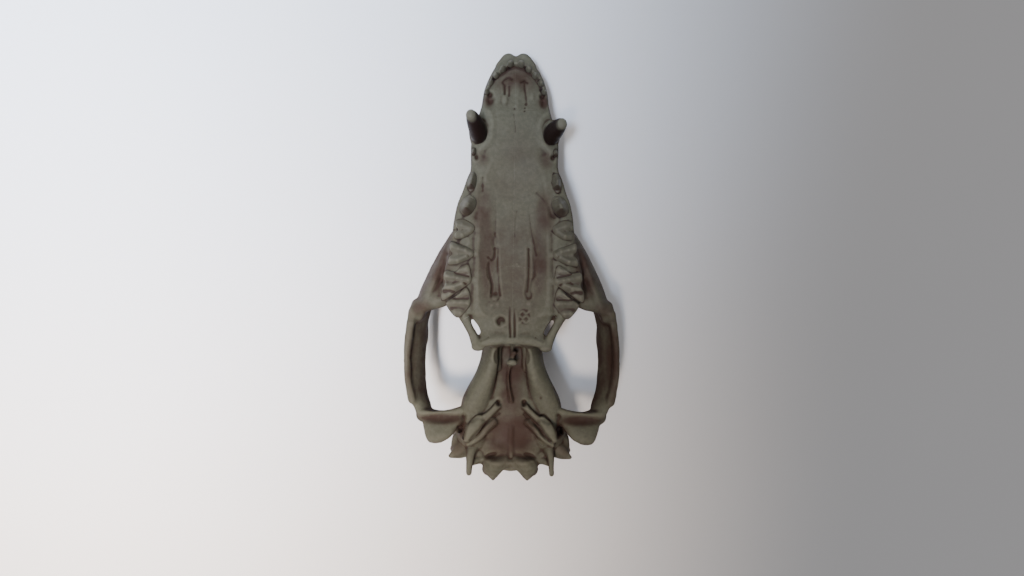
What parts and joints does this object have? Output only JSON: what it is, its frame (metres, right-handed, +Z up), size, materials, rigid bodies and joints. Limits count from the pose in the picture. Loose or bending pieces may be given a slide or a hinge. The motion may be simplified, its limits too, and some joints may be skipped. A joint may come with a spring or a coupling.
{
  "type": "opossum skull",
  "caption": "Upper skull of an adult opossum, lying on its crown with the palate and teeth up: long snout, wide cheek arches and a narrow braincase.",
  "frame": {"origin": "centre of the bounding box's base, on the table that the skull rests on", "axes": "+X towards the animal's left, +Y towards the snout, +Z up, on the palate's side; the snout dips 13.1 degrees, because the skull rests on the tips of its nasal bones and its postorbital processes"},
  "size_m": [0.0624, 0.1272, 0.0331],
  "materials": {
    "bone": "dry, matt grey-brown bone, with reddish-brown hollows and slightly smoother teeth"
  },
  "bodies": {
    "root": {"parietal": "bone", "sphenoid": "bone", "occipital": "bone", "premaxilla_left": "bone", "premaxilla_right": "bone", "nasal_left": "bone", "nasal_right": "bone", "maxilla_left": "bone", "maxilla_right": "bone", "palatine_left": "bone", "palatine_right": "bone", "frontal_left": "bone", "frontal_right": "bone", "jugal_left": "bone", "jugal_right": "bone", "squamosal_left": "bone", "squamosal_right": "bone", "petrosal_left": "bone", "petrosal_right": "bone"}
  },
  "joints": []
}
